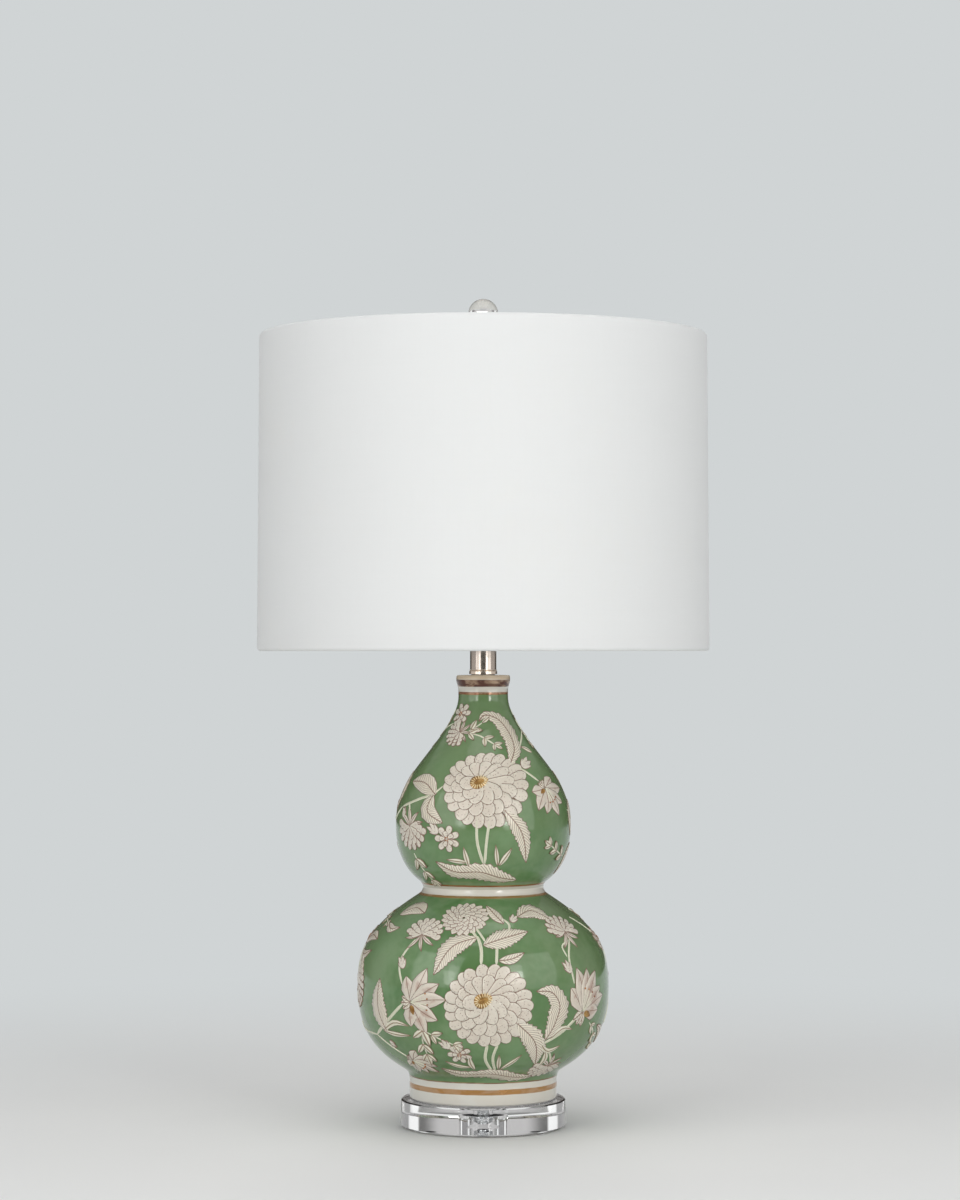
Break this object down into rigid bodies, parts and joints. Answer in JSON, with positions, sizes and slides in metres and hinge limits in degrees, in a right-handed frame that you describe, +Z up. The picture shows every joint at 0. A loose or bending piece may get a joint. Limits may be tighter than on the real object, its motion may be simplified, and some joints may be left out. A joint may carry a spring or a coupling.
{
  "type": "table lamp",
  "caption": "Table lamp with a glazed double gourd ceramic body on a clear disc base, a metal neck, a harp, a bulb, a white drum shade and a clear ball finial.",
  "frame": {"origin": "on the table, under the lamp's axis, at the underside of the bumper feet", "axes": "+Z up along the lamp's axis, the switch knob at -Y, the harp's legs at -X and +X"},
  "size_m": [0.381, 0.381, 0.6981],
  "materials": {
    "clear_bumper": "clear soft polyurethane",
    "clear_gasket": "clear soft vinyl",
    "acrylic": "clear cast acrylic, polished",
    "zinc_steel": "zinc plated steel",
    "ceramic_glaze": "gloss glaze, green with white and gold bands",
    "grommet_plastic": "moulded plastic",
    "neck_rubber": "soft washer",
    "brushed_nickel": "satin nickel plate",
    "socket_nickel": "nickel plated sheet",
    "socket_paper": "insulating paper",
    "moulded_black": "moulded phenolic",
    "brass_contacts": "stamped brass",
    "bulb_solder": "solder",
    "bulb_black_glass": "black vitrite",
    "bulb_cap_metal": "rolled aluminium",
    "frosted_glass": "inside frosted",
    "clear_glass": "clear",
    "tungsten": "coiled wire",
    "shade_cloth": "woven white cloth",
    "shade_plastic": "white styrene sheet",
    "white_wire": "white powder coat",
    "crystal": "clear, polished"
  },
  "bodies": {
    "base": {"bumper_feet": "clear_bumper", "acrylic_base": "acrylic", "base_washer": "zinc_steel", "base_nut": "zinc_steel", "lamp_pipe": "zinc_steel", "foot_gasket": "clear_gasket", "lower_gourd": "ceramic_glaze", "upper_gourd": "ceramic_glaze", "cord_grommet": "grommet_plastic", "neck_washer": "neck_rubber", "lower_check_ring": "brushed_nickel", "neck_tube": "brushed_nickel", "upper_check_ring": "brushed_nickel", "saddle_nut": "zinc_steel", "harp_saddle": "brushed_nickel", "harp_wire": "brushed_nickel", "socket_cap": "socket_nickel", "socket_set_screw": "zinc_steel", "socket_shell": "socket_nickel", "socket_liner": "socket_paper", "socket_body": "moulded_black", "terminal_screws": "brass_contacts", "screw_shell": "brass_contacts", "centre_contact": "brass_contacts"},
    "left_sleeve": {"left_harp_sleeve": "brushed_nickel"},
    "right_sleeve": {"right_harp_sleeve": "brushed_nickel"},
    "switch": {"switch_stem": "brass_contacts", "switch_knob": "moulded_black"},
    "bulb": {"bulb_tip": "bulb_solder", "bulb_insulator": "bulb_black_glass", "bulb_cap": "bulb_cap_metal", "bulb_glass": "frosted_glass", "bulb_stem": "clear_glass", "bulb_filament": "tungsten"},
    "shade": {"harp_stud": "brushed_nickel", "shade_fabric": "shade_cloth", "shade_liner": "shade_plastic", "spider_fitter": "white_wire", "bottom_ring": "white_wire"},
    "finial": {"finial_base": "brushed_nickel", "finial_ball": "crystal"}
  },
  "joints": [
    {"name": "left_sleeve_slide", "type": "slide", "parent": "base", "child": "left_sleeve", "axis": [0, 0, 1], "range_m": [0, 0.014]},
    {"name": "right_sleeve_slide", "type": "slide", "parent": "base", "child": "right_sleeve", "axis": [0, 0, 1], "range_m": [0, 0.014]},
    {"name": "switch_turn", "type": "hinge", "parent": "base", "child": "switch", "pos_m": [0, -0.02, 0.4602], "axis": [0, 1, 0], "continuous": true},
    {"name": "bulb_turn", "type": "hinge", "parent": "base", "child": "bulb", "pos_m": [0, 0, 0.5], "axis": [0, 0, 1], "continuous": true},
    {"name": "shade_swivel", "type": "hinge", "parent": "base", "child": "shade", "pos_m": [0, 0, 0.652], "axis": [0, 0, 1], "continuous": true},
    {"name": "finial_turn", "type": "hinge", "parent": "shade", "child": "finial", "pos_m": [0, 0, 0.67], "axis": [0, 0, 1], "continuous": true}
  ]
}
